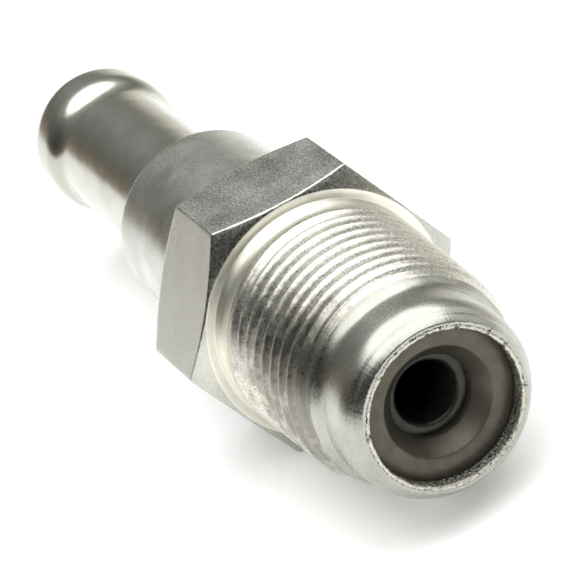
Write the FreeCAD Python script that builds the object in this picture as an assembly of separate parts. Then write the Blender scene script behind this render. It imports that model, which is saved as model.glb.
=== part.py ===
"""Screw-in crankcase ventilation valve: a plated steel body with a hose nipple, a hexagon and a taper thread,
and inside it a crimped seat ring, a sliding plunger and its return spring.

Frame, in millimetres: +X runs along the valve's axis towards the threaded nose, +Z is up, square to one
hexagon flat. The origin lies on the axis, in the plane of the hexagon's thread-side face.
"""

import FreeCAD
import Part
import math
import os

# Hexagon
HEX_ACROSS_FLATS = 19.0
HEX_LENGTH = 8.5
HEX_CHAMFER_ANGLE = 30.0
HEX_FACE_RING = 0.12  # how far the flat end faces stop short of the flats

# Taper thread, 1 in 16 on the diameter, and the plain band between it and the hexagon
BAND_LENGTH = 2.1
THREAD_LENGTH = 10.7
THREAD_VANISH_LENGTH = 2.4  # the grooves grow shallower over this length and end at the band
VANISH_OVERRUN = 0.5  # how far the cone that fills them goes on under the roots
THREAD_SMALL_RADIUS = 8.34
THREAD_TAPER = 1.0 / 16.0
THREAD_PITCH = 1.337
THREAD_DEPTH = 0.68
THREAD_FLANK_ANGLE = 27.5
THREAD_ROOT_FLAT = 0.16
THREAD_LEAD_LENGTH = 1.8  # cone that leads the first turns in
THREAD_LEAD_RADIUS = 7.75
THREAD_RUN_IN = 2.3  # how far in front of the full thread the cutter starts
CUTTER_PROUD = 0.12  # how far the cutter stands out of the crests

# Nose with its rolled lip
NOSE_RADIUS = 7.19
NOSE_LENGTH = 5.4
NOSE_FILLET_LENGTH = 1.2  # hollow rise from the nose to the lead cone
NOSE_ROUND_LENGTH = 2.3  # the rounded shoulder of the lip
LIP_FACE_RADIUS = 6.1
LIP_MOUTH_RADIUS = 5.64
LIP_DEPTH = 1.3

# Collar, hose tube and its bead
COLLAR_RADIUS = 7.2
COLLAR_LENGTH = 14.0
COLLAR_EDGE = 0.3
TUBE_RADIUS = 5.07
TUBE_LENGTH = 17.6
BEAD_RADIUS = 5.72
BEAD_RISE_LENGTH = 2.9
BEAD_LAND_LENGTH = 1.5
BEAD_ROUND_LENGTH = 2.5
BEAD_END_RADIUS = 4.1

# Bores
CHAMBER_RADIUS = 4.9
CHAMBER_DEPTH_BEHIND_HEX_FACE = 9.0
ORIFICE_RADIUS = 2.6
ORIFICE_LENGTH = 3.0
HOSE_BORE_RADIUS = 3.3
HOSE_BORE_CHAMFER = 0.45
DRILL_CONE_ANGLE = 59.0

# Seat ring
SEAT_RADIAL_CLEARANCE = 0.02
SEAT_THICKNESS = 1.9
SEAT_SINK_RADIUS = 4.07
SEAT_SINK_DEPTH = 1.24
SEAT_BORE_RADIUS = 3.04
SEAT_WALL_OUTSIDE_CHAMBER = 1.13

# Plunger and spring
PLUNGER_SEAT_GAP = 0.03
PLUNGER_FLANGE_CLEARANCE = 0.3
PLUNGER_FLANGE_LENGTH = 2.5
PLUNGER_FLAT_COUNT = 3
PLUNGER_FLAT_DEPTH = 0.9
PLUNGER_STEM_RADIUS = 2.9
PLUNGER_STEM_LENGTH = 12.2
PLUNGER_TAPER_LENGTH = 6.2
PLUNGER_TIP_RADIUS = 1.5
PLUNGER_TIP_LENGTH = 0.8
PLUNGER_BORE_RADIUS = 2.28
PLUNGER_BORE_DEPTH = 9.0
PLUNGER_MOUTH_CHAMFER = 0.22
SPRING_WIRE_RADIUS = 0.25
SPRING_WIRE_SIDES = 10  # the wire's round section is drawn with this many sides
SPRING_STEM_CLEARANCE = 0.65
SPRING_TURNS = 9
SPRING_END_GAP = 0.02

# Planes along the axis, worked out from the lengths above
HEX_BACK_X = -HEX_LENGTH
COLLAR_BACK_X = HEX_BACK_X - COLLAR_LENGTH
BEAD_START_X = COLLAR_BACK_X - TUBE_LENGTH
BEAD_LAND_FRONT_X = BEAD_START_X - BEAD_RISE_LENGTH
BEAD_LAND_BACK_X = BEAD_LAND_FRONT_X - BEAD_LAND_LENGTH
HOSE_END_X = BEAD_LAND_BACK_X - BEAD_ROUND_LENGTH
THREAD_BACK_X = BAND_LENGTH
THREAD_FRONT_X = THREAD_BACK_X + THREAD_LENGTH
NOSE_BACK_X = THREAD_FRONT_X + THREAD_LEAD_LENGTH
NOSE_TIP_X = NOSE_BACK_X + NOSE_LENGTH
SEAT_FRONT_X = NOSE_TIP_X - LIP_DEPTH
SEAT_BACK_X = SEAT_FRONT_X - SEAT_THICKNESS
CHAMBER_BACK_X = -CHAMBER_DEPTH_BEHIND_HEX_FACE
ORIFICE_BACK_X = CHAMBER_BACK_X - ORIFICE_LENGTH

# Radii that follow from others
TAPER_SLOPE = THREAD_TAPER / 2.0
THREAD_LARGE_RADIUS = THREAD_SMALL_RADIUS + THREAD_LENGTH * TAPER_SLOPE
POCKET_RADIUS = CHAMBER_RADIUS + SEAT_WALL_OUTSIDE_CHAMBER
PLUNGER_FLANGE_RADIUS = CHAMBER_RADIUS - PLUNGER_FLANGE_CLEARANCE
SPRING_MEAN_RADIUS = PLUNGER_STEM_RADIUS + SPRING_STEM_CLEARANCE + SPRING_WIRE_RADIUS
PLUNGER_FRONT_X = SEAT_BACK_X - PLUNGER_SEAT_GAP
PLUNGER_FLANGE_BACK_X = PLUNGER_FRONT_X - PLUNGER_FLANGE_LENGTH

AXIS = FreeCAD.Vector(1, 0, 0)
ORIGIN = FreeCAD.Vector(0, 0, 0)


def point(x, r):
    """A point of a half section: x along the axis, r away from it."""
    return FreeCAD.Vector(x, 0, r)


def line(start, end):
    return Part.LineSegment(point(*start), point(*end)).toShape()


def arc(start, middle, end):
    return Part.Arc(point(*start), point(*middle), point(*end)).toShape()


def path_through(points):
    """Straight edges from each point of the half section to the next."""
    return [line(a, b) for a, b in zip(points, points[1:])]


def turned(edges):
    """The solid that a closed half section sweeps round the axis."""
    face = Part.Face(Part.Wire(edges))
    return face.revolve(ORIGIN, AXIS, 360)


def turned_polygon(points):
    return turned(path_through(points + points[:1]))


def rounded_end(flat_end, rim):
    """A quarter-like arc that leaves flat_end along the axis and comes down to rim, nearer the axis."""
    run = rim[0] - flat_end[0]
    drop = flat_end[1] - rim[1]
    radius = (run * run + drop * drop) / (2 * drop)
    half_angle = math.asin(abs(run) / radius) / 2
    if drop > radius:
        half_angle = math.pi / 2 - half_angle
    side = math.copysign(1, run)
    middle = (
        flat_end[0] + side * radius * math.sin(half_angle),
        flat_end[1] - radius * (1 - math.cos(half_angle)),
    )
    return arc(flat_end, middle, rim)


def soft_rise(crest, foot):
    """Two arcs that leave crest and foot along the axis and meet halfway between them."""
    run = (foot[0] - crest[0]) / 2
    drop = (crest[1] - foot[1]) / 2
    radius = (run * run + drop * drop) / (2 * drop)
    angle = math.asin(abs(run) / radius) / 2
    reach = math.copysign(radius * math.sin(angle), run)
    sag = radius * (1 - math.cos(angle))
    half_way = (crest[0] + run, crest[1] - drop)
    return [
        arc(crest, (crest[0] + reach, crest[1] - sag), half_way),
        arc(half_way, (foot[0] - reach, foot[1] + sag), foot),
    ]


def hollow_fall(crest, foot):
    """An arc that falls from crest and runs into foot along the axis."""
    run = foot[0] - crest[0]
    drop = crest[1] - foot[1]
    radius = (run * run + drop * drop) / (2 * drop)
    angle = math.asin(run / radius) / 2
    middle = (foot[0] - radius * math.sin(angle), foot[1] + radius * (1 - math.cos(angle)))
    return arc(crest, middle, foot)


def hexagon():
    """The spanner hexagon with one flat square to +Z and both ends chamfered by turning."""
    corner_radius = HEX_ACROSS_FLATS / 2 / math.cos(math.radians(30))
    corners = [
        FreeCAD.Vector(
            HEX_BACK_X,
            corner_radius * math.cos(math.radians(60 * k)),
            corner_radius * math.sin(math.radians(60 * k)),
        )
        for k in range(6)
    ]
    prism = Part.Face(Part.makePolygon(corners + corners[:1])).extrude(AXIS * HEX_LENGTH)
    ring = HEX_ACROSS_FLATS / 2 - HEX_FACE_RING
    outside = corner_radius + 1.0
    fall = (outside - ring) * math.tan(math.radians(HEX_CHAMFER_ANGLE))
    envelope = turned_polygon(
        [
            (HEX_BACK_X, 0),
            (HEX_BACK_X, ring),
            (HEX_BACK_X + fall, outside),
            (-fall, outside),
            (0, ring),
            (0, 0),
        ]
    )
    return prism.common(envelope)


def nipple_and_collar():
    """Everything behind the hexagon: the collar, the hose tube and its rounded bead."""
    tube_foot = (COLLAR_BACK_X, TUBE_RADIUS)
    bead_start = (BEAD_START_X, TUBE_RADIUS)
    land_front = (BEAD_LAND_FRONT_X, BEAD_RADIUS)
    land_back = (BEAD_LAND_BACK_X, BEAD_RADIUS)
    end_rim = (HOSE_END_X, BEAD_END_RADIUS)
    edges = [line((HOSE_END_X, 0), end_rim), rounded_end(land_back, end_rim)]
    edges += [line(land_back, land_front)] + soft_rise(land_front, bead_start)
    edges += path_through(
        [
            bead_start,
            tube_foot,
            (COLLAR_BACK_X, COLLAR_RADIUS - COLLAR_EDGE),
            (COLLAR_BACK_X + COLLAR_EDGE, COLLAR_RADIUS),
            (HEX_BACK_X, COLLAR_RADIUS),
            (HEX_BACK_X, 0),
            (HOSE_END_X, 0),
        ]
    )
    return turned(edges)


def thread_blank():
    """The plain band, the cone that the thread is cut in, and the steeper cone that leads it in."""
    return turned_polygon(
        [
            (0, 0),
            (0, THREAD_LARGE_RADIUS),
            (THREAD_BACK_X, THREAD_LARGE_RADIUS),
            (THREAD_FRONT_X, THREAD_SMALL_RADIUS),
            (NOSE_BACK_X, THREAD_LEAD_RADIUS),
            (NOSE_BACK_X, 0),
        ]
    )


def thread_vanish():
    """The cone that fills the last grooves more and more towards the band, as a die's end leaves them."""
    slope = THREAD_DEPTH / THREAD_VANISH_LENGTH + TAPER_SLOPE
    run = THREAD_VANISH_LENGTH + VANISH_OVERRUN
    deep_x = THREAD_BACK_X + run
    deep_radius = THREAD_LARGE_RADIUS - run * slope
    return turned_polygon(
        [
            (0, 0),
            (0, THREAD_LARGE_RADIUS),
            (THREAD_BACK_X, THREAD_LARGE_RADIUS),
            (deep_x, deep_radius),
            (deep_x, 0),
        ]
    )


def thread_groove():
    """The cutter's sweep: a blunt V that follows a right-handed helix on the thread's cone."""
    run_out = THREAD_PITCH
    start_x = THREAD_FRONT_X + THREAD_RUN_IN
    length = THREAD_LENGTH + THREAD_RUN_IN + run_out
    root_start = THREAD_SMALL_RADIUS - THREAD_RUN_IN * TAPER_SLOPE - THREAD_DEPTH
    helix = Part.makeLongHelix(THREAD_PITCH, length, root_start, math.degrees(math.atan(TAPER_SLOPE)))
    half_root = THREAD_ROOT_FLAT / 2
    half_top = half_root + (THREAD_DEPTH + CUTTER_PROUD) * math.tan(math.radians(THREAD_FLANK_ANGLE))
    section = Part.makePolygon(
        [
            FreeCAD.Vector(root_start, 0, -half_root),
            FreeCAD.Vector(root_start + THREAD_DEPTH + CUTTER_PROUD, 0, -half_top),
            FreeCAD.Vector(root_start + THREAD_DEPTH + CUTTER_PROUD, 0, half_top),
            FreeCAD.Vector(root_start, 0, half_root),
            FreeCAD.Vector(root_start, 0, -half_root),
        ]
    )
    sweep = Part.BRepOffsetAPI.MakePipeShell(helix)
    sweep.setFrenetMode(True)
    sweep.add(section)
    sweep.build()
    sweep.makeSolid()
    groove = sweep.shape()
    groove.rotate(ORIGIN, FreeCAD.Vector(0, 1, 0), -90)
    groove.translate(AXIS * start_x)
    return groove


def nose():
    """The plain nose: a hollow fall from the lead cone, a rounded shoulder and the rolled lip's flat face."""
    crest = (NOSE_BACK_X, THREAD_LEAD_RADIUS)
    foot = (NOSE_BACK_X + NOSE_FILLET_LENGTH, NOSE_RADIUS)
    shoulder = (NOSE_TIP_X - NOSE_ROUND_LENGTH, NOSE_RADIUS)
    lip_edge = (NOSE_TIP_X, LIP_FACE_RADIUS)
    edges = path_through([(NOSE_BACK_X, 0), crest])
    edges.append(hollow_fall(crest, foot))
    edges += path_through([foot, shoulder])
    edges.append(rounded_end(shoulder, lip_edge))
    edges += path_through([lip_edge, (NOSE_TIP_X, 0), (NOSE_BACK_X, 0)])
    return turned(edges)


def body_bores():
    """All that is bored out: the lip's mouth, the seat pocket, the chamber, the orifice and the hose bore."""
    cone = (HOSE_BORE_RADIUS - ORIFICE_RADIUS) / math.tan(math.radians(DRILL_CONE_ANGLE))
    return turned_polygon(
        [
            (HOSE_END_X, 0),
            (HOSE_END_X, HOSE_BORE_RADIUS + HOSE_BORE_CHAMFER),
            (HOSE_END_X + HOSE_BORE_CHAMFER, HOSE_BORE_RADIUS),
            (ORIFICE_BACK_X - cone, HOSE_BORE_RADIUS),
            (ORIFICE_BACK_X, ORIFICE_RADIUS),
            (CHAMBER_BACK_X, ORIFICE_RADIUS),
            (CHAMBER_BACK_X, CHAMBER_RADIUS),
            (SEAT_BACK_X, CHAMBER_RADIUS),
            (SEAT_BACK_X, POCKET_RADIUS),
            (SEAT_FRONT_X, POCKET_RADIUS),
            (SEAT_FRONT_X, LIP_MOUTH_RADIUS),
            (NOSE_TIP_X, LIP_MOUTH_RADIUS),
            (NOSE_TIP_X, 0),
        ]
    )


def valve_body():
    threaded = thread_blank().fuse(nose()).cut(thread_groove()).fuse(thread_vanish())
    blank = hexagon().fuse([nipple_and_collar(), threaded])
    return blank.cut(body_bores()).removeSplitter()


def seat_ring():
    """The ring that the lip is rolled over, with its conical mouth and the bore that the plunger closes."""
    outside = POCKET_RADIUS - SEAT_RADIAL_CLEARANCE
    return turned_polygon(
        [
            (SEAT_FRONT_X, outside),
            (SEAT_FRONT_X, SEAT_SINK_RADIUS),
            (SEAT_FRONT_X - SEAT_SINK_DEPTH, SEAT_BORE_RADIUS),
            (SEAT_BACK_X, SEAT_BORE_RADIUS),
            (SEAT_BACK_X, outside),
        ]
    )


def plunger():
    """The sliding plunger: a flange with flats that let gas past, a hollow stem and a tapered metering tip."""
    stem_back = PLUNGER_FLANGE_BACK_X - PLUNGER_STEM_LENGTH
    taper_back = stem_back - PLUNGER_TAPER_LENGTH
    bore_back = PLUNGER_FRONT_X - PLUNGER_BORE_DEPTH
    bore_cone = PLUNGER_BORE_RADIUS / math.tan(math.radians(DRILL_CONE_ANGLE))
    outline = turned_polygon(
        [
            (bore_back - bore_cone, 0),
            (bore_back, PLUNGER_BORE_RADIUS),
            (PLUNGER_FRONT_X - PLUNGER_MOUTH_CHAMFER, PLUNGER_BORE_RADIUS),
            (PLUNGER_FRONT_X, PLUNGER_BORE_RADIUS + PLUNGER_MOUTH_CHAMFER),
            (PLUNGER_FRONT_X, PLUNGER_FLANGE_RADIUS),
            (PLUNGER_FLANGE_BACK_X, PLUNGER_FLANGE_RADIUS),
            (PLUNGER_FLANGE_BACK_X, PLUNGER_STEM_RADIUS),
            (stem_back, PLUNGER_STEM_RADIUS),
            (taper_back, PLUNGER_TIP_RADIUS),
            (taper_back - PLUNGER_TIP_LENGTH, PLUNGER_TIP_RADIUS - 0.5 * PLUNGER_TIP_LENGTH),
            (taper_back - PLUNGER_TIP_LENGTH, 0),
        ]
    )
    side = PLUNGER_FLANGE_RADIUS - PLUNGER_FLAT_DEPTH
    for k in range(PLUNGER_FLAT_COUNT):
        block = Part.makeBox(
            PLUNGER_FLANGE_LENGTH,
            2 * PLUNGER_FLANGE_RADIUS,
            PLUNGER_FLANGE_RADIUS,
            FreeCAD.Vector(PLUNGER_FLANGE_BACK_X, -PLUNGER_FLANGE_RADIUS, side),
        )
        block.rotate(ORIGIN, AXIS, 360 / PLUNGER_FLAT_COUNT * k)
        outline = outline.cut(block)
    return outline


def spring():
    """The return spring between the chamber's floor and the plunger's flange."""
    front = PLUNGER_FLANGE_BACK_X - SPRING_END_GAP - SPRING_WIRE_RADIUS
    back = CHAMBER_BACK_X + SPRING_END_GAP + SPRING_WIRE_RADIUS
    height = front - back
    helix = Part.makeHelix(height / SPRING_TURNS, height, SPRING_MEAN_RADIUS)
    angles = [2 * math.pi * k / SPRING_WIRE_SIDES for k in range(SPRING_WIRE_SIDES)]
    corners = [
        FreeCAD.Vector(
            SPRING_MEAN_RADIUS + SPRING_WIRE_RADIUS * math.cos(angle),
            0,
            SPRING_WIRE_RADIUS * math.sin(angle),
        )
        for angle in angles
    ]
    section = Part.makePolygon(corners + corners[:1])
    sweep = Part.BRepOffsetAPI.MakePipeShell(helix)
    sweep.setFrenetMode(True)
    sweep.add(section)
    sweep.build()
    sweep.makeSolid()
    coil = sweep.shape()
    coil.rotate(ORIGIN, FreeCAD.Vector(0, 1, 0), 90)
    coil.translate(AXIS * back)
    return coil


PIECES = {
    "valve_body": valve_body,
    "seat_ring": seat_ring,
    "plunger": plunger,
    "return_spring": spring,
}


def main():
    os.makedirs("parts", exist_ok=True)
    for name, make in PIECES.items():
        shape = make()
        shape.exportStep(os.path.join("parts", name + ".step"))
        box = shape.BoundBox
        print(
            name,
            "valid" if shape.isValid() else "NOT VALID",
            len(shape.Solids),
            "solid,",
            round(shape.Volume, 1),
            "mm3, x",
            round(box.XMin, 2),
            "to",
            round(box.XMax, 2),
        )


main()
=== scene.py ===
# %% [markdown]
# # A screw-in crankcase ventilation valve
# The valve is a turned and plated steel body with a hexagon, a taper thread and a hose nipple. In its nose
# a seat ring is held by a rolled lip, and behind the ring a hollow plunger slides against a coil spring.
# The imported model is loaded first: it fixes every size and place, and the looks are built round it.

import bpy
import math
import numpy as np
from mathutils import Matrix, Vector, noise


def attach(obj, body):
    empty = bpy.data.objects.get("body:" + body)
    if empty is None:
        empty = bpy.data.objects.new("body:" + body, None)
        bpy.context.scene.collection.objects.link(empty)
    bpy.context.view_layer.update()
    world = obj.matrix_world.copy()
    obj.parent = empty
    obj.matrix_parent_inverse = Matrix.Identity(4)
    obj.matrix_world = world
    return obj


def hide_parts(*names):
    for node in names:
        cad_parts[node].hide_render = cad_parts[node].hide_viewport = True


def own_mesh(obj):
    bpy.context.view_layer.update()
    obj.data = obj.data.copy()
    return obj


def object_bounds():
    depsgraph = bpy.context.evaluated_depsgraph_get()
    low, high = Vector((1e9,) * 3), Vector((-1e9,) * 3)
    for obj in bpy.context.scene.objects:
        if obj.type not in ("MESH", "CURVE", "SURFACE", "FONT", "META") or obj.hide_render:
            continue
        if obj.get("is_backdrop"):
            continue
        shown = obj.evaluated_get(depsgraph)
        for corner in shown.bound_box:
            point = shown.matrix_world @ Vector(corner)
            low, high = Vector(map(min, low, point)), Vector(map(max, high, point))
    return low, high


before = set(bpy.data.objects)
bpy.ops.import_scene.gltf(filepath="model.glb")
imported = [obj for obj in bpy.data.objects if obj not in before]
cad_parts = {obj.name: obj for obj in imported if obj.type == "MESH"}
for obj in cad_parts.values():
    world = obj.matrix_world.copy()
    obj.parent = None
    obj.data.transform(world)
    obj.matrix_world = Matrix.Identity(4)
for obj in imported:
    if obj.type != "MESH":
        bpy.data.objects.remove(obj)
CAD_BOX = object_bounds()

# %% [markdown]
# ## Sizes
# The lengths are in millimetres, as on a workshop drawing, and are turned into metres when a mesh is made.
# +X runs along the axis to the nose, and the origin is in the hexagon's thread-side face. These values
# repeat the ones in the part's source, because this file can't read it. On the +Y side the first groove's
# bottom is at FIRST_GROOVE, and VANISH_SLOPE is how much deeper a groove may be for each millimetre of
# distance from the plain band.

# %% The drawing sizes, in millimetres, from the nose to the hose end
MM = 0.001
NOSE_TIP, NOSE_RADIUS, SHOULDER = 20.0, 7.19, 17.7
LIP_FACE, LIP_MOUTH = 6.1, 5.64
FILLET_FRONT, LEAD_FRONT, LEAD_RADIUS = 15.8, 14.6, 7.75
THREAD_FRONT, THREAD_RADIUS, TAPER = 12.8, 8.34, 1 / 32
PITCH, FIRST_GROOVE = 1.337, 14.766
VANISH_SLOPE = 0.68 / 2.4
BAND_RADIUS, BAND_LENGTH = 8.675, 2.1
HEX_FLAT, HEX_LENGTH, HEX_RING = 9.5, 8.5, 9.38
CHAMFER_SLOPE = math.tan(math.radians(30))
COLLAR_RADIUS, COLLAR_BACK = 7.2, -22.5
TUBE_RADIUS, BEAD_START = 5.07, -40.1
BEAD_RADIUS, LAND_FRONT, LAND_BACK, HOSE_END = 5.72, -43.0, -44.5, -47.0
HOSE_BORE, ORIFICE, CHAMBER, POCKET = 3.3, 2.6, 4.9, 6.03
CHAMBER_BACK, SEAT_BACK, SEAT_FRONT = -9.0, 16.8, 18.7
FLOOR_Z = -HEX_FLAT
print("the valve is", NOSE_TIP - HOSE_END, "mm long and lies on a flat, at z =", FLOOR_Z, "mm")

# %% [markdown]
# ## One skin for the turned body
# A turned part is rows of points round an axis, so its skin can be woven like a net: each row is a ring
# with a radius for every column. The hexagon's flats, the helical thread and the torn lip aren't round, but
# a radius that changes from column to column gives them too, and the whole body stays one closed net with
# no boolean cuts. The columns are closer together at the hexagon's corners, to round their edges a little.


# %% Columns round the axis
def column_angles():
    """Degrees from +Y towards +Z: even steps, and four more beside each corner of the hexagon."""
    even = [1.5 * k for k in range(240)]
    beside = [60 * k + d for k in range(6) for d in (-0.45, -0.225, 0.225, 0.45)]
    return np.array(sorted(a % 360 for a in even + beside))


def finer_angles(angles, parts):
    """The same columns with each wide step divided, and where each coarse column is in the new list."""
    fine, start = [], []
    for here, after in zip(angles, np.append(angles[1:], 360.0 + angles[0])):
        start.append(len(fine))
        count = parts if after - here > 1 else 1
        fine += [here + (after - here) * k / count for k in range(count)]
    return np.array(fine), start


COLUMNS = column_angles()
LIP_COLUMNS, LIP_START = finer_angles(COLUMNS, 4)
SMALL_COLUMNS = np.arange(0, 360, 2.0)
print("columns:", len(COLUMNS), "round the lip:", len(LIP_COLUMNS), "on small pieces:", len(SMALL_COLUMNS))


# %% The net that every turned piece is woven with
class Skin:
    """Points and faces in millimetres, with a finish number for each face."""

    def __init__(self):
        self.points, self.faces, self.finishes = [], [], []

    def row(self, x, r, angles):
        """A ring of points; x and r are numbers, or one number for each column. Returns its point numbers."""
        a = np.radians(angles)
        x, r = np.broadcast_to(x, a.shape), np.broadcast_to(r, a.shape)
        first = len(self.points)
        self.points += list(zip(x, r * np.cos(a), r * np.sin(a)))
        return list(range(first, first + len(a)))

    def face(self, corners, finish):
        """One face through these point numbers, counted round so that it points outwards."""
        self.faces.append(tuple(corners))
        self.finishes.append(finish)

    def weave(self, a, b, finish):
        """Quads between two rings with the same columns; a finish may be given for each column."""
        for j in range(len(a)):
            k = (j + 1) % len(a)
            self.face((a[j], b[j], b[k], a[k]), finish if isinstance(finish, int) else finish[j])

    def fan(self, x, ring, finish, closing):
        """A point on the axis closes the net's first ring if closing is true, and its last one if not."""
        self.points.append((x, 0.0, 0.0))
        tip = len(self.points) - 1
        for j in range(len(ring)):
            k = (j + 1) % len(ring)
            self.face((ring[j], tip, ring[k]) if closing else (tip, ring[j], ring[k]), finish)

    def split(self, coarse, fine, start, finish, to_fine):
        """Faces between a coarse ring and a fine one, each with as many corners as it needs."""
        for j in range(len(coarse)):
            k = (j + 1) % len(coarse)
            end = start[k] if k else len(fine)
            run = [fine[i % len(fine)] for i in range(start[j], end + 1)]
            if to_fine:
                self.face((coarse[j], *run, coarse[k]), finish)
            else:
                self.face((run[0], coarse[j], coarse[k], *run[:0:-1]), finish)

    def piece(self, name, finishes):
        """The finished net as a smooth-shaded object, with normals weighted towards its large faces."""
        mesh = bpy.data.meshes.new(name)
        mesh.from_pydata([tuple(c * MM for c in p) for p in self.points], [], self.faces)
        for material in finishes:
            mesh.materials.append(material)
        mesh.polygons.foreach_set("material_index", self.finishes)
        mesh.polygons.foreach_set("use_smooth", [True] * len(mesh.polygons))
        mesh.validate()
        obj = bpy.data.objects.new(name, mesh)
        bpy.context.scene.collection.objects.link(obj)
        weights = obj.modifiers.new("even shading on flat faces", "WEIGHTED_NORMAL")
        weights.weight = 60
        print(name, "has", sum(len(f) - 2 for f in self.faces), "triangles")
        return obj


# %% [markdown]
# ## Joining nodes
# Materials, the room's light and the spring are all trees of nodes. Adding a node, setting its numbers and
# joining it takes several lines each time, so one small class does it for all three. A value may be a plain
# number or the output of an earlier node, and a tree then reads from top to bottom like a recipe.


# %% A small helper for any tree
class Nodes:
    """Adds nodes to a tree and joins them, with fewer words."""

    def __init__(self, tree):
        self.tree = tree

    def feed(self, socket, value):
        """Joins another node's output to a socket, or sets the socket's own value."""
        if isinstance(value, bpy.types.NodeSocket):
            self.tree.links.new(value, socket)
        else:
            socket.default_value = value

    def add(self, kind, values=(), **settings):
        """A new node with these settings, and with these values fed to its inputs."""
        node = self.tree.nodes.new(kind)
        for key, value in settings.items():
            setattr(node, key, value)
        for key, value in dict(values).items():
            self.feed(node.inputs[key], value)
        return node

    def between(self, value, low, high, to_low=0.0, to_high=1.0):
        """The value stretched so that low and high become to_low and to_high."""
        ends = {"From Min": low, "From Max": high, "To Min": to_low, "To Max": to_high}
        return self.add("ShaderNodeMapRange", {"Value": value, **ends}).outputs["Result"]

    def calculate(self, operation, *values):
        """The sum, product or other result of these values."""
        return self.add("ShaderNodeMath", dict(enumerate(values)), operation=operation).outputs[0]

    def reach(self, vector, way):
        """How far a vector reaches along this way."""
        return self.add("ShaderNodeVectorMath", {0: vector, 1: way}, operation="DOT_PRODUCT").outputs["Value"]

    def blend(self, share, first, second):
        """Two colours mixed by a share from 0 to 1; each is red, green and blue, or a node's output."""
        pair = [c if isinstance(c, bpy.types.NodeSocket) else (*c, 1) for c in (first, second)]
        values = {0: share, 6: pair[0], 7: pair[1]}
        return self.add("ShaderNodeMix", values, data_type="RGBA").outputs[2]


# %% [markdown]
# ## Finishes
# Bright zinc plating looks like one grey metal, but up close it is a very fine sparkle with soft stains, and
# each tool leaves its own marks under it: rings on turned faces, lengthwise lines on the drawn hexagon, a
# crumbly crest on the thread. So one recipe mixes the shared parts, and each surface gets its own amounts.
# The patterns are read from object coordinates, scaled so that one unit is a millimetre.


# %% The nodes of a finish
class Finish(Nodes):
    """A material's nodes: noises and sides of the body, bumps, and the shader that they lead to."""

    def __init__(self, name):
        self.material = bpy.data.materials.new(name)
        self.material.use_nodes = True
        super().__init__(self.material.node_tree)
        self.shader = self.tree.nodes["Principled BSDF"]

    def grain(self, scale, detail=4.0, roughness=0.55, stretch=(1, 1, 1)):
        """Noise with about scale features per millimetre, times stretch in x, y and z."""
        place = self.add("ShaderNodeTexCoord").outputs["Object"]
        turned = self.add("ShaderNodeMapping", {"Vector": place, "Scale": [s / MM for s in stretch]})
        values = {"Vector": turned.outputs[0], "Scale": scale, "Detail": detail, "Roughness": roughness}
        return self.add("ShaderNodeTexNoise", values).outputs["Fac"]

    def side(self, degrees, radius_mm, forward):
        """Near 1 on the side that looks this way round the axis and near -1 opposite it, with forward
        added for each millimetre of x."""
        a = math.radians(degrees)
        way = (forward / MM, math.cos(a) / (radius_mm * MM), math.sin(a) / (radius_mm * MM))
        return self.reach(self.add("ShaderNodeTexCoord").outputs["Object"], way)

    def bump(self, height, depth_mm, under=None):
        """The surface's direction with this height pressed into it, over another bump if one is given."""
        values = {"Height": height, "Distance": depth_mm * MM}
        if under is not None:
            values["Normal"] = under
        return self.add("ShaderNodeBump", values).outputs["Normal"]

    def wire(self, **sockets):
        """Feeds the shader and returns the finished material."""
        for name, value in sockets.items():
            self.feed(self.shader.inputs[name.replace("_", " ")], value)
        return self.material


# %% [markdown]
# ## The plating recipe
# Four noises do the work: a slow one for stains, a fine one for the sparkle of the zinc crystals, one that
# is stretched along the tool's path for its marks, and a broad one for the faint dents that make a mirrored
# light wander. The first two mix the colour, the sparkle also sets the roughness, and all but the stains
# drive bumps, from a thousandth of a millimetre for tool marks to a few hundredths for the dents. Metallic
# is simply 1, because bare plating has no paint over it.


# %% Plated steel, with amounts for each surface
def plated(name, light, dark, rough, marks=None, mark_depth=0.0, grain=(0.09, 0.003), wave=0.04):
    """light and dark are the stain's colours, rough is the range of roughness, and marks a stretch.
    grain is the crystals' size and depth and wave the depth of slow dents, all in millimetres."""
    n = Finish(name)
    stain = n.grain(0.35, 3.0)
    sparkle = n.grain(1 / grain[0], 3.0, 0.7)
    share = n.between(n.calculate("ADD", stain, sparkle), 0.75, 1.25)
    normal = n.bump(sparkle, grain[1], under=n.bump(n.grain(0.4, 1.0), wave))
    if marks:
        normal = n.bump(n.grain(1.0, 2.0, stretch=marks), mark_depth, under=normal)
    return n.wire(
        Base_Color=n.blend(share, dark, light),
        Metallic=1.0,
        Roughness=n.between(sparkle, 0.35, 0.65, *rough),
        Normal=normal,
    )


# %% The turned surfaces
RINGS = (9.0, 0.02, 0.02)
NOSE = plated(
    "turned nose plating",
    (0.45, 0.45, 0.41),
    (0.31, 0.31, 0.275),
    (0.21, 0.33),
    RINGS,
    0.0015,
    grain=(0.11, 0.005),
)
BAND = plated("plain band plating", (0.84, 0.83, 0.75), (0.72, 0.71, 0.63), (0.30, 0.42), RINGS, 0.001)
COLLAR = plated("collar plating", (0.57, 0.60, 0.58), (0.37, 0.365, 0.315), (0.22, 0.34), RINGS, 0.001)
TUBE = plated("hose tube plating", (0.48, 0.48, 0.43), (0.39, 0.39, 0.345), (0.13, 0.22), RINGS, 0.001)
print("turned:", [m.name for m in (NOSE, BAND, COLLAR, TUBE)])

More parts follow.
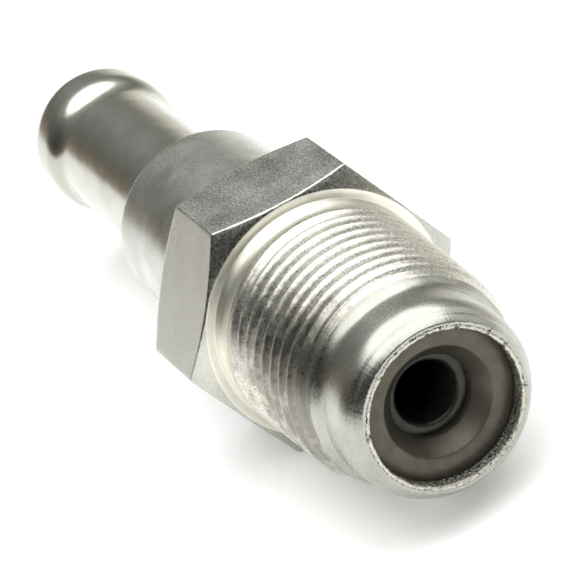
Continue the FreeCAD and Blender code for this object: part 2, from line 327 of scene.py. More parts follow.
# %% The hexagon's surfaces
LENGTHWISE = (0.05, 7.0, 7.0)
FLAT = plated(
    "drawn flat plating",
    (0.45, 0.45, 0.405),
    (0.41, 0.41, 0.365),
    (0.22, 0.30),
    LENGTHWISE,
    0.0015,
    wave=0.01,
)
GRAINED = plated(
    "grained flat plating",
    (0.62, 0.63, 0.585),
    (0.24, 0.245, 0.225),
    (0.20, 0.36),
    grain=(0.17, 0.016),
    wave=0.01,
)
CHAMFER = plated(
    "chamfer plating",
    (0.52, 0.52, 0.47),
    (0.38, 0.38, 0.34),
    (0.22, 0.34),
    grain=(0.2, 0.008),
    wave=0.01,
)
print("on the hexagon:", [m.name for m in (FLAT, GRAINED, CHAMFER)])

# %% [markdown]
# ## The thread's and the lip's rougher metal
# A die tears the crests a little, and the plating builds up on the torn spots, so the thread sparkles like
# sand. On the lip, rolling has cracked the plating and bared a pale, pitted rim, and the wall inside it has
# broken up into bright glints. All three get dark pits: a noise that is cut off sharply, so that only its
# deepest spots count. On one side, more towards the nose, the thread gets painted shade in mottled dark
# patches.


# %% Torn and pitted metal
def torn(name, light, dark, pit, rough, pit_limit, size, depth, shaded_side=None):
    """As plated, with pits where a finer noise falls under pit_limit. size and depth are the crumbs', in
    millimetres, and shaded_side is the side that gets painted shade in mottled patches, in degrees from +Y
    towards +Z."""
    n = Finish(name)
    crumbs = n.grain(1 / size, 5.0, 0.65)
    holes = n.between(n.grain(0.7 / size, 2.0), pit_limit, pit_limit + 0.06)
    metal = n.blend(n.between(crumbs, 0.35, 0.65), dark, light)
    # Painted shade: mottled dark patches darken the metal on one side of the thread, more towards the nose.
    if shaded_side:
        shade_patches = n.calculate("ADD", n.side(shaded_side, radius_mm=8.3, forward=0.05), n.grain(0.8, 4.0))
        metal = n.blend(n.between(shade_patches, 1.64, 1.98, 0.0, 0.8), metal, (0.16, 0.155, 0.125))
    return n.wire(
        Base_Color=n.blend(holes, pit, metal),
        Metallic=1.0,
        Roughness=n.between(crumbs, 0.3, 0.7, *rough),
        Normal=n.bump(holes, depth * 1.5, under=n.bump(crumbs, depth)),
    )


# The thread gets painted shade in mottled patches on its side at 160 degrees, more towards the nose.
THREAD = torn(
    "thread plating",
    (0.74, 0.73, 0.66),
    (0.40, 0.39, 0.335),
    (0.22, 0.21, 0.18),
    (0.24, 0.40),
    pit_limit=0.25,
    size=0.16,
    depth=0.020,
    shaded_side=160,
)
LIP = torn(
    "bared lip",
    (0.68, 0.67, 0.59),
    (0.42, 0.41, 0.34),
    (0.12, 0.115, 0.09),
    (0.32, 0.5),
    pit_limit=0.31,
    size=0.20,
    depth=0.03,
)
WALL = torn(
    "rolled inner wall",
    (0.74, 0.73, 0.68),
    (0.14, 0.135, 0.115),
    (0.04, 0.04, 0.03),
    (0.05, 0.10),
    pit_limit=0.36,
    size=0.20,
    depth=0.16,
)
print("torn:", [m.name for m in (THREAD, LIP, WALL)])

# %% [markdown]
# ## The dull metal inside
# The seat ring and the plunger are oiled steel that no plating reached. They are brown-grey and dull, and
# not quite bare, so they are mixed with a little of the shader's plain surface. The bores are sooty.


# %% Oiled steel
def oiled(name, light, dark, rough, bare=0.9):
    """light and dark are the film's colours, rough is the range of roughness and bare the share of metal."""
    n = Finish(name)
    film = n.grain(0.9, 4.0)
    mottle = n.grain(6.0, 3.0)
    return n.wire(
        Base_Color=n.blend(n.between(film, 0.35, 0.65), dark, light),
        Metallic=bare,
        Roughness=n.between(mottle, 0.3, 0.7, *rough),
        Normal=n.bump(mottle, 0.004),
    )


BORE = oiled("sooty bore", (0.16, 0.15, 0.13), (0.07, 0.07, 0.06), (0.42, 0.6))
SEAT = oiled("oiled seat steel", (0.098, 0.091, 0.07), (0.074, 0.069, 0.053), (0.34, 0.46), bare=0.72)
PLUNGER = oiled("turned plunger steel", (0.042, 0.042, 0.037), (0.026, 0.026, 0.023), (0.28, 0.40), bare=0.7)
WIRE = oiled("drawn spring wire", (0.42, 0.41, 0.39), (0.28, 0.27, 0.25), (0.25, 0.4))
print("oiled:", [m.name for m in (BORE, SEAT, PLUNGER, WIRE)])

# %% The body's finishes and their numbers
BODY_FINISHES = [NOSE, LIP, THREAD, BAND, CHAMFER, FLAT, GRAINED, COLLAR, TUBE, BORE, WALL]
F_NOSE, F_LIP, F_THREAD, F_BAND, F_CHAMFER, F_FLAT, F_GRAINED, F_COLLAR, F_TUBE, F_BORE, F_WALL = range(11)
print("the body has", len(BODY_FINISHES), "finishes")

# %% [markdown]
# ## The thread
# A die cuts a groove that climbs one pitch in each turn. If the net's rows stayed square to the axis, the
# groove would cross them and look jagged, so here the rows climb with it: each row is one line of the
# thread, and after a turn it meets the row fifteen lines further on. The crests are rounded and a little
# torn. A cone leads the first grooves in, and the last ones fade out before the plain band, as the die's
# worn end leaves them, with a shallow relief between them and the hexagon.

# %% Lines of the groove, as offset along the axis and depth
GROOVE = [(0.62, 0.004), (0.54, 0.018), (0.46, 0.052), (0.38, 0.11)]
GROOVE += [(0.30, 0.185), (0.21, 0.30), (0.11, 0.46), (0.0, 0.56)]
GROOVE += [(-offset, depth) for offset, depth in reversed(GROOVE[:-1])]
TURNS, LINES = 11, len(GROOVE)
print("the thread has", TURNS, "turns of", LINES, "lines")


# %% What bounds the crests
def arc_fall(along, run, drop):
    """How far an arc has fallen at a place along it, if it starts along the axis and falls drop over run."""
    radius = (run * run + drop * drop) / (2 * drop)
    return radius - np.sqrt(radius * radius - along**2)


def front_radius(x):
    """The cone that leads the first turns in, and the hollow fall from it to the nose."""
    cone = THREAD_RADIUS - (x - THREAD_FRONT) * (THREAD_RADIUS - LEAD_RADIUS) / (LEAD_FRONT - THREAD_FRONT)
    run = FILLET_FRONT - LEAD_FRONT
    hollow = NOSE_RADIUS + arc_fall(np.clip(FILLET_FRONT - x, 0, run), run, LEAD_RADIUS - NOSE_RADIUS)
    return np.where(x < LEAD_FRONT, cone, hollow)


def relief_radius(x):
    """The shallow relief between the last thread and the hexagon, where the die runs out."""
    places = (0.0, 0.2, 0.4, 0.6, 0.8, 0.95, 1.1, 1.25, 1.45, 1.7, 1.95, 2.15, 2.35)
    depths = (0.0, 0.075, 0.15, 0.225, 0.295, 0.335, 0.35, 0.34, 0.295, 0.2, 0.1, 0.035, 0.0)
    return BAND_RADIUS - np.interp(x, places, depths)


print("at the lead cone's front the radius is", round(float(front_radius(LEAD_FRONT)), 2), "mm")


# %% One line of the thread
def crumble(x, angles, size, seed):
    """A soft random wave from -1 to 1 on the body's surface, size in millimetres."""
    a = np.radians(angles)
    x = np.broadcast_to(x, a.shape)
    points = zip(x / size, 8 * np.cos(a) / size, 8 * np.sin(a) / size)
    return np.array([noise.noise(Vector((p[0] + seed, p[1], p[2]))) for p in points])


def thread_line(turn, line):
    """x and radius of one line of the thread, for every column."""
    offset, depth = GROOVE[line]
    x = FIRST_GROOVE - turn * PITCH + offset + PITCH * COLUMNS / 360
    crest = np.minimum(THREAD_RADIUS + (THREAD_FRONT - x) * TAPER, relief_radius(x))
    fade = np.clip((x - BAND_LENGTH) * VANISH_SLOPE, 0, None)
    cut = np.minimum(depth, fade)
    worn = 0.02 * np.clip(crumble(x, COLUMNS, 0.8, 3.0), 0, 1)
    on_a_flank = 0.2 < abs(offset) < 0.6
    if on_a_flank:
        worn += 0.05 * np.clip(crumble(x, COLUMNS, 0.4, 7.0) - 0.1, 0, 1)
    worn *= np.clip(fade / 0.3, 0, 1)
    return x, np.minimum(crest - cut - worn, front_radius(x) - 0.3 * worn * (x < LEAD_FRONT))


def finish_at(x):
    """Smooth nose in front of the lead cone, smooth band behind the last thread, torn metal between."""
    return F_NOSE if x > LEAD_FRONT + 0.05 else F_BAND if x < BAND_LENGTH - 0.3 else F_THREAD


# %% Weaving the thread
def weave_thread(skin, front_ring, back_ring):
    """The climbing rows, joined to a plain ring at each end."""
    rows = [skin.row(*thread_line(t, k), COLUMNS) for t in range(TURNS) for k in range(LINES)]
    last = len(COLUMNS) - 1
    for a, b in zip(rows, rows[1:]):
        for j in range(last):
            skin.face((a[j], b[j], b[j + 1], a[j + 1]), finish_at(skin.points[a[j]][0]))
    for k in range(LINES, len(rows) - 1):
        a, b = rows[k - LINES], rows[k - LINES + 1]
        skin.face((rows[k][last], rows[k + 1][last], b[0], a[0]), finish_at(skin.points[a[0]][0]))
    top, bottom = rows[0], rows[-1]
    for j in range(last):
        skin.face((front_ring[j], top[j], top[j + 1], front_ring[j + 1]), F_NOSE)
        skin.face((bottom[j], back_ring[j], back_ring[j + 1], bottom[j + 1]), F_BAND)
    down = [rows[k][last] for k in range(LINES + 1)]
    skin.face((front_ring[last], *down, top[0], front_ring[0]), F_NOSE)
    up = [rows[-1 - k][0] for k in range(LINES + 1)]
    skin.face((bottom[last], back_ring[last], back_ring[0], *up), F_BAND)


# %% [markdown]
# ## The hexagon
# A spanner hexagon is drawn bar with both ends chamfered on the lathe. Where the chamfer's cone meets a
# flat, the edge is a curve that is highest at the corners. For each column both surfaces are known, so the
# net puts a row exactly on that curve, and two more beside it for the small rounded burr that catches the
# light.


# %% Rows of the hexagon
def hexagon_radius(angles):
    """Distance from the axis to the hexagon's outline, with its corners rounded a little."""
    off = (angles % 60) - 30
    sharp = HEX_FLAT / np.cos(np.radians(off))
    to_corner = 30 - np.abs(off)
    rounding = 0.023 * np.clip(1 - to_corner / 0.45, 0, 1) ** 1.5
    return sharp - rounding


def hexagon_rows():
    """x and radius for each row: one at the face's edge, four on the chamfer, six on the flats, and five
    on the rear chamfer."""
    outline = hexagon_radius(COLUMNS)
    fall = (outline - HEX_RING) * CHAMFER_SLOPE
    burr = 0.10 + 0.07 * crumble(0.0, COLUMNS, 0.35, 9.0)
    along, inward = burr * math.cos(math.radians(60)), burr * math.sin(math.radians(60))
    edge_in = np.minimum(inward, (outline - HEX_RING) * 0.6)
    front = [
        (0.0, HEX_RING - 0.03),
        (-0.015, HEX_RING + 0.015),
        (-fall * 0.45, HEX_RING + (outline - HEX_RING) * 0.45),
        (-fall + edge_in * CHAMFER_SLOPE, outline - edge_in),
        (-fall - 0.1 * along, outline - 0.22 * edge_in),
        (-fall - burr, outline),
        (-fall - burr - 0.12, outline),
    ]
    back = [(-HEX_LENGTH - x, r) for x, r in reversed(front)]
    return front + [(-HEX_LENGTH * 0.35, outline), (-HEX_LENGTH * 0.65, outline)] + back


def flat_finish():
    """The finish of each column between the chamfers: the upper flat is the grained one."""
    return [F_GRAINED if 60 <= a < 120 else F_FLAT for a in COLUMNS]


print("across the corners:", round(2 * float(hexagon_radius(COLUMNS).max()), 2), "mm")

# %% [markdown]
# ## The rolled lip
# The lip was rolled over the seat ring in a press. Its rounded shoulder is smooth but for a soft crease that
# the roller left, while its rim is torn: cracked plating, small bites, crumbs and a dark crevice behind the
# rim. The lip gets up to four times as many columns, and waves of noise in three sizes move its rim in and
# out, with a few deeper bites at fixed places.

# %% Waves and bites of the rim, on the finer columns
BITES = [(62.0, 0.16, 2.0), (84.0, 0.10, 1.2), (38.0, 0.14, 1.1), (22.0, 0.12, 1.6), (347.0, 0.12, 1.3)]
BITES += [(128.0, 0.10, 1.5), (171.0, 0.12, 2.2), (236.0, 0.10, 2.5), (301.0, 0.12, 1.8)]


def rim_waves(seed):
    """Three sizes of noise added up, on the lip's columns."""
    sizes = ((0.5, 1.6), (0.45, 0.6), (0.5, 0.24))
    return sum(share * crumble(0.0, LIP_COLUMNS, size, seed + size) for share, size in sizes)


def bitten():
    """How deep the fixed bites are at each column; a bite is its angle, depth in mm and half width."""
    depth = np.zeros(len(LIP_COLUMNS))
    for angle, deep, wide in BITES:
        off = (LIP_COLUMNS - angle + 180) % 360 - 180
        depth = np.maximum(depth, deep * np.clip(1 - (off / wide) ** 2, 0, 1))
    return depth


print("the deepest of", len(BITES), "bites is", round(float(bitten().max()), 2), "mm")


# %% Rows of the lip
def lip_rows():
    """x, radius and finish from the lip's inner wall over its rim to the crevice behind it."""
    inner, outer, high = rim_waves(20.0), rim_waves(40.0), rim_waves(60.0)
    bite = bitten()
    upper_right = np.clip(np.cos(np.radians(LIP_COLUMNS - 50)), 0, 1)
    crevice = rim_waves(100.0) * (0.12 + 0.88 * upper_right)
    mouth = LIP_MOUTH + 0.05 + 0.10 * inner + 0.5 * bite
    face = LIP_FACE - 0.14 + 0.12 * outer
    top = NOSE_TIP - 0.03 - 0.05 * np.clip(0.5 + high, 0, 1.4) - bite
    middle = mouth + (face - mouth) * 0.45
    return [
        (18.73, LIP_MOUTH + 0.02, F_BORE),
        (18.95, LIP_MOUTH + 0.015 * outer, F_WALL),
        (19.2, LIP_MOUTH + 0.03 * inner, F_WALL),
        (19.45, LIP_MOUTH + 0.04 * outer, F_WALL),
        (top - 0.22 + 0.03 * outer, mouth - 0.05, F_WALL),
        (top - 0.08, mouth - 0.01, F_LIP),
        (top - 0.01, mouth + 0.05, F_LIP),
        (top - 0.025 * np.abs(outer), middle, F_LIP),
        (top - 0.01 - 0.02 * np.abs(inner), face - 0.06, F_LIP),
        (top - 0.07 - 0.16 * np.clip(crevice, 0, 1), face + 0.03, F_WALL),
    ]


def crease_depth(x):
    """The roller's soft crease behind the lip; it wanders a little along the axis."""
    middle = 19.12 + 0.16 * np.cos(np.radians(LIP_COLUMNS - 80))
    return 0.085 * np.exp(-(((x - middle) / 0.15) ** 2))


def shoulder_rows():
    """x and radius from the crevice down the rounded shoulder; the first millimetre is a little rough."""
    places = [19.95, 19.86, 19.75, 19.62, 19.5, 19.38, 19.26, 19.14, 19.02, 18.9, 18.78, 18.66]
    places += [18.5, 18.3, 18.1, 17.9]
    waves = 0.012 * rim_waves(80.0)
    rows = []
    for x in places:
        smooth = NOSE_RADIUS - arc_fall(x - SHOULDER, NOSE_TIP - SHOULDER, NOSE_RADIUS - LIP_FACE)
        rough = waves * max(0.0, (x - 18.6) / 1.3)
        rows.append((x, smooth - 0.01 + rough - crease_depth(x)))
    return rows


# %% [markdown]
# ## The nipple and the bores
# Behind the hexagon the body is plain turning: a collar, a hose tube, and a bead that keeps the hose on. Its
# outline is a list of points, and each sharp corner is broken by a short extra step, as a lathe hand does
# with a file. The bores follow in the same net, back to the pocket under the lip, so that the net closes.


# %% Outline of the nipple and of the bores
def rise_radius(x):
    """The bead's soft rise: an arc that leaves the tube along the axis, then one that joins the land."""
    run, drop = (BEAD_START - LAND_FRONT) / 2, (BEAD_RADIUS - TUBE_RADIUS) / 2
    if x > BEAD_START - run:
        return TUBE_RADIUS + arc_fall(BEAD_START - x, run, drop)
    return BEAD_RADIUS - arc_fall(x - LAND_FRONT, run, drop)


def collar_rows():
    """x and radius from the hexagon's rear face over the collar to the foot of its rear face."""
    rows = [(-HEX_LENGTH, 8.3), (-HEX_LENGTH, 7.35), (-HEX_LENGTH - 0.05, 7.24), (-HEX_LENGTH - 0.2, 7.2)]
    rows += [(x, COLLAR_RADIUS) for x in (-10, -13, -16, -19, -21.6, -22.1)]
    rows += [(-22.22, 7.19), (-22.34, 7.08), (-22.46, 6.95), (COLLAR_BACK, 6.8), (COLLAR_BACK, 6.0)]
    return rows + [(COLLAR_BACK, 5.25), (-22.54, 5.11), (-22.7, TUBE_RADIUS)]


def tube_rows():
    """x and radius along the hose tube, over the bead and round the end into the bore's mouth."""
    end_radius = 4.1
    rows = [(x, TUBE_RADIUS) for x in (-24, -27, -30, -33, -36, -38.5, -39.6)]
    rows += [(x, rise_radius(x)) for x in np.linspace(BEAD_START, LAND_FRONT, 13)]
    rows += [(-43.7, BEAD_RADIUS), (LAND_BACK, BEAD_RADIUS)]
    run, drop = LAND_BACK - HOSE_END, BEAD_RADIUS - end_radius
    for x in (-44.9, -45.3, -45.7, -46.1, -46.45, -46.7, -46.88, -46.97):
        rows.append((x, BEAD_RADIUS - arc_fall(LAND_BACK - x, run, drop)))
    return rows + [(HOSE_END, 4.08), (HOSE_END, 3.83), (-46.96, 3.76), (-46.6, 3.34)]


def bore_rows():
    """x and radius from the hose bore through the orifice and the chamber to the pocket under the lip."""
    rows = [(x, HOSE_BORE) for x in (-46.4, -44, -38, -30, -22, -13, -12.5)]
    rows += [(-12.4, 3.27), (-12.05, 2.66), (-11.9, ORIFICE), (-9.2, ORIFICE), (-9.05, 2.63)]
    rows += [(CHAMBER_BACK, 2.75), (CHAMBER_BACK, 4.8)]
    rows += [(x, CHAMBER) for x in (-8.9, -6, 0, 6, 12, 16.7)]
    rows += [(SEAT_BACK, 4.95), (SEAT_BACK, 5.95), (16.85, POCKET), (18.6, POCKET), (18.69, 6.01)]
    return rows + [(SEAT_FRONT, 5.9), (SEAT_FRONT, 5.7)]


print("rows behind the hexagon:", len(collar_rows() + tube_rows()), "and in the bores:", len(bore_rows()))

# %% [markdown]
# ## Weaving the body
# The rows are joined in the order that a finger would follow: from the lip's shoulder back along the nose,
# the thread, the band, the hexagon and the nipple, in through the bore and out again under the lip.


# %% The valve body
def weave_rows(skin, ring, rows, finish):
    """Adds rows one after another to a ring and returns the last one."""
    for x, r in rows:
        after = skin.row(x, r, COLUMNS)
        skin.weave(ring, after, finish)
        ring = after
    return ring


def weave_lip(skin, pocket_ring, nose_ring):
    """The lip and its shoulder on the finer columns, between the pocket's last ring and the nose."""
    before = None
    for x, r, finish in lip_rows():
        fine = skin.row(x, r, LIP_COLUMNS)
        if before is None:
            skin.split(pocket_ring, fine, LIP_START, F_BORE, to_fine=True)
        else:
            skin.weave(before, fine, finish)
        before = fine
    for x, r in shoulder_rows():
        fine = skin.row(x, r, LIP_COLUMNS)
        skin.weave(before, fine, F_NOSE)
        before = fine
    skin.split(nose_ring, before, LIP_START, F_NOSE, to_fine=False)


def make_body():
    """The whole closed net, from the nose backwards and through the bores to the nose again."""
    skin = Skin()
    nose_ring = skin.row(17.4, NOSE_RADIUS, COLUMNS)
    front_ring = weave_rows(skin, nose_ring, [(17.0, NOSE_RADIUS)], F_NOSE)
    back_ring = skin.row(0.68, relief_radius(0.68), COLUMNS)
    weave_thread(skin, front_ring, back_ring)
    foot = [(x, relief_radius(x)) for x in (0.6, 0.4, 0.2, 0.06, 0.02)]
    foot += [(0.004, 8.685), (0.0, 8.70), (0.0, 8.76), (0.0, 9.0)]
    hexagon = hexagon_rows()
    ring = back_ring
    for rows, finish in (
        (foot, F_BAND),
        (hexagon[:1], F_BAND),
        (hexagon[1:5], F_CHAMFER),
        (hexagon[5:11], flat_finish()),
        (hexagon[11:], F_CHAMFER),
        (collar_rows(), F_COLLAR),
        (tube_rows(), F_TUBE),
        (bore_rows(), F_BORE),
    ):
        ring = weave_rows(skin, ring, rows, finish)
    weave_lip(skin, ring, nose_ring)
    return skin.piece("plated_body", BODY_FINISHES)


plated_body = make_body()

# %% [markdown]
# ## Seat ring and plunger
# Both are small turned pieces, so the same net makes them from a short list of points. The ring's hole is
# open from end to end and its outline is a closed loop. The plunger has a point on the axis at each end of
# its outline: the metering tip outside, and the drill's cone at the bottom of its hole. Three flats on its
# flange let the gas past, and they come from the flange's radius, column by column.


# %% Seat ring
def make_seat_ring():
    """Its face and its conical mouth, the hole, the rear face and the rim."""
    outline = [(SEAT_FRONT, 5.93), (SEAT_FRONT, 5.0), (SEAT_FRONT, 4.15), (18.67, 4.09), (18.62, 4.04)]
    outline += [(17.52, 3.09), (17.42, 3.04), (16.86, 3.04), (SEAT_BACK, 3.10)]
    outline += [(SEAT_BACK, 5.93), (16.88, 6.01), (17.7, 6.01), (18.62, 6.01)]
    skin = Skin()
    rings = [skin.row(x, r, SMALL_COLUMNS) for x, r in outline]
    for a, b in zip(rings, rings[1:] + rings[:1]):
        skin.weave(b, a, 0)
    return skin.piece("crimped_seat_ring", [SEAT])


crimped_seat_ring = make_seat_ring()

# %% Plunger
FLANGE_BACK, FLANGE_FRONT = 14.24, 16.77
STEM, FLANGE, TO_FLAT, PLUNGER_HOLE = 2.9, 4.6, 3.7, 2.28


def flange_radius(angles):
    """The flange's outline: a circle with three flats, the first one upwards."""
    off = (angles - 90 + 60) % 120 - 60
    return np.minimum(FLANGE, TO_FLAT / np.cos(np.radians(off)))


def make_plunger():
    """From the metering tip up the stem, over the flange and down the hole in its front."""
    flange = flange_radius(SMALL_COLUMNS)
    outline = [(-4.955, 1.05), (-4.9, 1.13), (-4.16, 1.49), (-4.06, 1.52), (1.94, 2.88)]
    outline += [(x, STEM) for x in (2.04, 6.0, 11.0, 14.15)]
    outline += [(FLANGE_BACK, 3.0), (FLANGE_BACK, flange - 0.06)]
    outline += [(x, flange) for x in (14.3, 15.5, 16.69)]
    outline += [(FLANGE_FRONT, flange - 0.08), (FLANGE_FRONT, 3.2), (FLANGE_FRONT, 2.56)]
    outline += [(16.73, 2.46), (16.6, 2.33)]
    outline += [(x, PLUNGER_HOLE) for x in (16.5, 12.0, 7.9)]
    outline += [(7.77, 2.26), (6.5, 0.17)]
    skin = Skin()
    rings = [skin.row(x, r, SMALL_COLUMNS) for x, r in outline]
    for a, b in zip(rings, rings[1:]):
        skin.weave(b, a, 0)
    skin.fan(-4.96, rings[0], 0, closing=True)
    skin.fan(6.4, rings[-1], 0, closing=False)
    return skin.piece("hollow_plunger", [PLUNGER])


hollow_plunger = make_plunger()

# %% [markdown]
# ## The return spring
# A coil spring follows a rule, so a small node tree makes it: a spiral, stood along the valve's axis, with a
# round wire drawn along it. Its coils lie closer at the two ends, as on a real compression spring, and a
# smooth step along the length does that. The sizes are named inputs, so that the tree can be used again.

# %% The spring's sizes, in metres
SPRING_SIZES = {
    "Turns": 11.0,
    "Mean radius": 3.8 * MM,
    "Length": 22.7 * MM,
    "Start": -8.73 * MM,
    "Wire radius": 0.25 * MM,
}


# %% The node tree for a coil spring
def spring_tree(material):
    """A spiral of height 1 gets closer coils at its ends, its real length and place, and a round wire."""
    tree = bpy.data.node_groups.new("coil spring", "GeometryNodeTree")
    for name, value in SPRING_SIZES.items():
        socket = tree.interface.new_socket(name, in_out="INPUT", socket_type="NodeSocketFloat")
        socket.default_value = value
    tree.interface.new_socket("Geometry", in_out="OUTPUT", socket_type="NodeSocketGeometry")
    n = Nodes(tree)
    given = n.add("NodeGroupInput").outputs
    turns = {"Rotations": given["Turns"], "Resolution": 36, "Height": 1.0}
    radii = {"Start Radius": given["Mean radius"], "End Radius": given["Mean radius"]}
    spiral = n.add("GeometryNodeCurveSpiral", {**turns, **radii})
    place = n.add("GeometryNodeInputPosition")
    parts = n.add("ShaderNodeSeparateXYZ", {0: place.outputs[0]}).outputs
    eased = n.add("ShaderNodeMapRange", {"Value": parts["Z"]}, interpolation_type="SMOOTHSTEP")
    mixed = n.add("ShaderNodeMix", {"Factor": 0.75, "A": parts["Z"], "B": eased.outputs["Result"]})
    along = n.calculate("MULTIPLY_ADD", mixed.outputs["Result"], given["Length"], given["Start"])
    stood = n.add("ShaderNodeCombineXYZ", {"X": along, "Y": parts["X"], "Z": parts["Y"]})
    moved = n.add("GeometryNodeSetPosition", {"Geometry": spiral.outputs[0], "Position": stood.outputs[0]})
    section = n.add("GeometryNodeCurvePrimitiveCircle", {"Resolution": 14, "Radius": given["Wire radius"]})
    ends = {"Profile Curve": section.outputs[0], "Fill Caps": True}
    wire = n.add("GeometryNodeCurveToMesh", {"Curve": moved.outputs[0], **ends})
    smooth = n.add("GeometryNodeSetShadeSmooth", {"Geometry": wire.outputs[0]})
    real = n.add("GeometryNodeRealizeInstances", {0: smooth.outputs[0]})
    dressed = n.add("GeometryNodeSetMaterial", {"Geometry": real.outputs[0], "Material": material})
    n.add("NodeGroupOutput", {"Geometry": dressed.outputs[0]})
    return tree


# %% The return spring, made once by the tree and kept as a plain mesh
def make_spring():
    """Runs the tree on an empty mesh, takes the result as a mesh of its own and drops the maker."""
    tree = spring_tree(WIRE)
    maker = bpy.data.objects.new("spring maker", bpy.data.meshes.new("spring maker"))
    bpy.context.scene.collection.objects.link(maker)
    coils = maker.modifiers.new("coils", "NODES")
    coils.node_group = tree
    for item in tree.interface.items_tree:
        if item.name in SPRING_SIZES:
            coils[item.identifier] = SPRING_SIZES[item.name]
    seen = maker.evaluated_get(bpy.context.evaluated_depsgraph_get())
    mesh = bpy.data.meshes.new_from_object(seen)
    mesh.name = "coil_spring"
    bpy.data.objects.remove(maker)
    spring = bpy.data.objects.new("coil_spring", mesh)
    bpy.context.scene.collection.objects.link(spring)
    points = np.array([v.co for v in mesh.vertices]) / MM
    print("spring from", points.min(0).round(2), "to", points.max(0).round(2), "mm")
    return spring


coil_spring = make_spring()

# %% [markdown]
# ## What rides on what
# The body, the seat ring and the spring ride on the body; the plunger slides. The spring gets a mesh of its
# own.

# %% Bodies, replaced nodes and slots
for piece, body, node, slot in (
    (plated_body, "body", "valve_body", "plated_steel"),
    (crimped_seat_ring, "body", "seat_ring", "seat_steel"),
    (coil_spring, "body", "return_spring", "spring_wire"),
    (hollow_plunger, "plunger", "plunger", "plunger_steel"),
):
    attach(piece, body)
    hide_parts(node)
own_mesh(coil_spring)

# %% [markdown]
# ## The studio
# The photograph is a product picture on white. The metal mirrors it: a bright floor below, a large soft
# light above, a dull grey room behind with a warm horizon, and darkness round the camera. The floor, three
# lights and a graded world stand for them. Their tones were changed step by step, until the round surfaces
# mirrored nearly the greys that they have in the photograph.


# %% Floor
def make_floor():
    """White paper under the valve, wide enough that the plating mirrors nothing but paper below."""
    mesh = bpy.data.meshes.new("studio_floor")
    z, half = FLOOR_Z * MM, 0.9
    corners = [(-half, -half, z), (half, -half, z), (half, half, z), (-half, half, z)]
    mesh.from_pydata(corners, [], [(0, 1, 2, 3)])
    floor = bpy.data.objects.new("studio_floor", mesh)
    bpy.context.scene.collection.objects.link(floor)
    n = Finish("matt white paper")
    paper = n.blend(n.grain(0.5, 3.0), (0.91, 0.91, 0.91), (0.93, 0.93, 0.925))
    mesh.materials.append(n.wire(Base_Color=paper, Roughness=0.9))
    floor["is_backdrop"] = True
    print("the paper is", 2 * half, "m wide, at z =", z, "m")


make_floor()

# %% [markdown]
# ## Lights
# The overhead softbox gives the broad highlights, and a weak one at the side lifts the flank towards +Y. The
# fill keeps the paper white round the valve: it is hidden from glossy rays, because a third bright shape
# mirrored in the plating would give it away.


# %% Lights
def soft_light(name, place, target, size, power):
    """An elliptical area light at a place in metres, turned to its target; power is in watts."""
    light = bpy.data.lights.new(name, "AREA")
    light.shape, light.size, light.size_y = "ELLIPSE", *size
    light.energy = power
    obj = bpy.data.objects.new(name, light)
    obj.location = place
    obj.rotation_euler = (Vector(target) - Vector(place)).to_track_quat("-Z", "Y").to_euler()
    bpy.context.scene.collection.objects.link(obj)
    return obj


soft_light("overhead softbox", (0.0, 0.05, 0.5), (0, 0.02, 0), (0.95, 0.95), 5.2)
paper_fill = soft_light("paper fill", (0.35, -0.6, 0.35), (0.02, -0.03, 0), (0.6, 0.6), 5.2)
paper_fill.visible_glossy = False
soft_light("side softbox", (0.1, 0.75, 0.35), (0, 0, 0.05), (0.7, 0.4), 0.4)

# %% [markdown]
# ## The room
# A world's colour can depend on the direction that a ray leaves in, so it can stand for the room that the
# plating mirrors. Its tone changes with height, from a warm horizon over dull grey to white overhead. It is
# stronger behind the valve than behind the camera, and low on one side lies a cream glow, as from a wall.

# %% Tones of the room by height, from the horizon to straight up
ROOM_TONES = [(0.0, (0.55, 0.50, 0.42)), (0.05, (0.48, 0.37, 0.30)), (0.13, (0.36, 0.30, 0.25))]
ROOM_TONES += [(0.20, (0.24, 0.235, 0.205)), (0.44, (0.33, 0.34, 0.33)), (0.66, (0.62, 0.62, 0.6))]
ROOM_TONES += [(1.0, (1, 1, 0.98))]


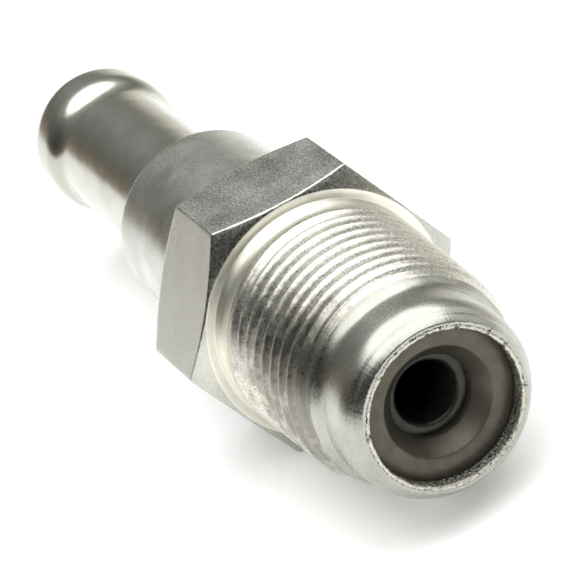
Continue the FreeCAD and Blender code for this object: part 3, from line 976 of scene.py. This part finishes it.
# %% The room round the table, as a graded world
def make_room():
    """Tones by height, a cream glow low down towards +Y, and a strength that falls towards the camera."""
    world = bpy.data.worlds.new("grey room")
    world.use_nodes = True
    bpy.context.scene.world = world
    n = Nodes(world.node_tree)
    way = n.add("ShaderNodeTexCoord").outputs["Generated"]
    parts = n.add("ShaderNodeSeparateXYZ", {0: way}).outputs
    tones = n.add("ShaderNodeValToRGB", {"Fac": parts["Z"]})
    ramp = tones.color_ramp.elements
    for k, (at, colour) in enumerate(ROOM_TONES):
        stop = ramp[k] if k < 2 else ramp.new(at)
        stop.position, stop.color = at, (*colour, 1)
    towards_y = n.between(parts["Y"], 0.1, 0.45)
    low_down = n.between(parts["Z"], 0.02, 0.30, 1.0, 0.0)
    glow = n.blend(n.calculate("MULTIPLY", towards_y, low_down), tones.outputs["Color"], (1.05, 1.04, 0.93))
    behind = n.reach(way, (-0.8, 0.6, 0.0))
    sky = n.tree.nodes["Background"]
    n.feed(sky.inputs["Color"], glow)
    n.feed(sky.inputs["Strength"], n.between(behind, -0.6, 0.75, 0.10, 1.1))


make_room()
print("the room has", len(ROOM_TONES), "tones, and the studio", len(bpy.data.lights), "lights")

# %% [markdown]
# ## The camera
# The photograph was taken from in front of the nose, above and a little to one side, with the camera rolled.
# Its place and lens were worked out from points on the hexagon and the nose's circles, so the render can be
# laid over the photograph.


# %% Camera
def make_camera():
    """The camera's right, up and back directions are the columns of its turn, with its place beside them."""
    lens = bpy.data.cameras.new("camera")
    lens.lens, lens.sensor_width = 255.32, 36.0
    lens.clip_start, lens.clip_end = 0.01, 10.0
    camera = bpy.data.objects.new("camera", lens)
    right = (0.39638, 0.85733, -0.329)
    up = (-0.31584, 0.46376, 0.828)
    back = (0.86205, -0.22429, 0.4545)
    place = (249.3 * MM, -66.9 * MM, 134.9 * MM)
    camera.matrix_world = Matrix([*zip(right, up, back, place), (0, 0, 0, 1)])
    print("the camera is", round(Vector(place).length, 3), "m from the origin")
    bpy.context.scene.collection.objects.link(camera)
    bpy.context.scene.camera = camera


make_camera()
bpy.context.scene.view_settings.view_transform = "Standard"

# %% [markdown]
# ## Last look at the sizes
# The finished looks have to keep the drawing's size, so both boxes are written down side by side.

# %% Boxes of the drawing and of the looks
LOOKS_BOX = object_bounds()
boxes = {"cad": [list(c) for c in CAD_BOX], "visual": [list(c) for c in LOOKS_BOX]}
for name, (low, high) in boxes.items():
    print(name, [round(1000 * (b - a), 2) for a, b in zip(low, high)], "mm")
